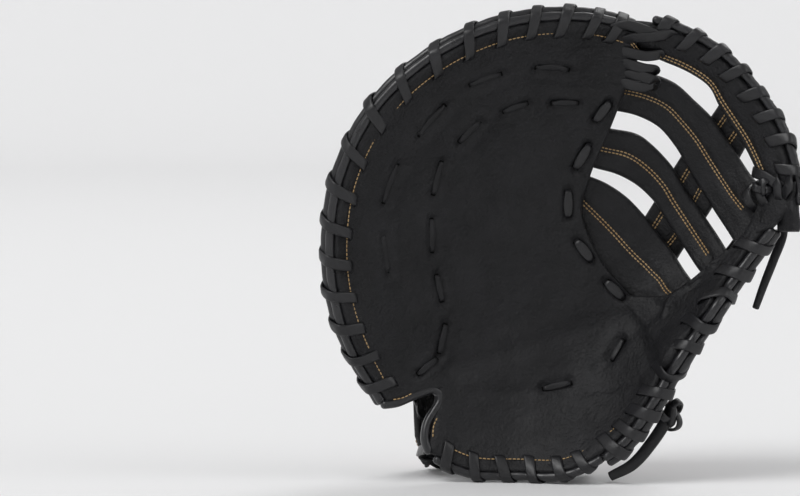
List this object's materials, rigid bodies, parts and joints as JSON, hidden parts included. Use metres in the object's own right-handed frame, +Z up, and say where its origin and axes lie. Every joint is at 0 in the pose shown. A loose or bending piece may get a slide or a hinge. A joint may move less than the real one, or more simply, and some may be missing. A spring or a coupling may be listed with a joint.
{
  "type": "first baseman mitt",
  "caption": "Black leather first baseman's mitt with a deep laced bowl, a bar and post web, two back shells and a labelled wrist strap.",
  "frame": {"origin": "middle of the footprint of the whole mitt, on the surface it stands on", "axes": "+Z up, the palm looks along -Y, the thumb is on the +X side"},
  "size_m": [0.3072, 0.117, 0.304],
  "materials": {
    "black_leather": "soft matt black leather with a fine grain",
    "dark_lining": "smooth dark lining leather",
    "rawhide": "flat dark grey rawhide lace with a soft sheen",
    "rolled_welt": "rolled black leather welt with a soft gloss",
    "red_patch": "plain red patch with white edging"
  },
  "bodies": {
    "root": {"band_lace": "rawhide", "band_welt": "rolled_welt", "crown_lace": "rawhide", "finger_back": "black_leather", "finger_rim_lace": "rawhide", "finger_welt_back": "rolled_welt", "finger_welt_front": "rolled_welt", "heel_lace": "rawhide", "heel_welt": "rolled_welt", "index_pad": "black_leather", "notch_binding": "rolled_welt", "palm_lining": "dark_lining", "palm_panel": "black_leather", "post_lace_lower": "rawhide", "post_lace_upper": "rawhide", "strap_label": "red_patch", "strap_lace_lower": "rawhide", "strap_lace_upper": "rawhide", "thumb_back": "black_leather", "thumb_heel_lace": "rawhide", "thumb_patch": "red_patch", "thumb_rim_lace": "rawhide", "thumb_tip_lace": "rawhide", "thumb_tip_tail": "rawhide", "thumb_welt_back": "rolled_welt", "thumb_welt_front": "rolled_welt", "tip_lace": "rawhide", "tip_tie_1": "rawhide", "tip_tie_2": "rawhide", "tip_tie_3": "rawhide", "web_bar_lower": "black_leather", "web_bar_middle": "black_leather", "web_bar_upper": "black_leather", "web_base_panel": "black_leather", "web_post": "black_leather", "web_side_panel": "black_leather", "web_top_band": "black_leather", "wrist_binding": "rolled_welt", "wrist_strap": "black_leather"}
  },
  "joints": []
}
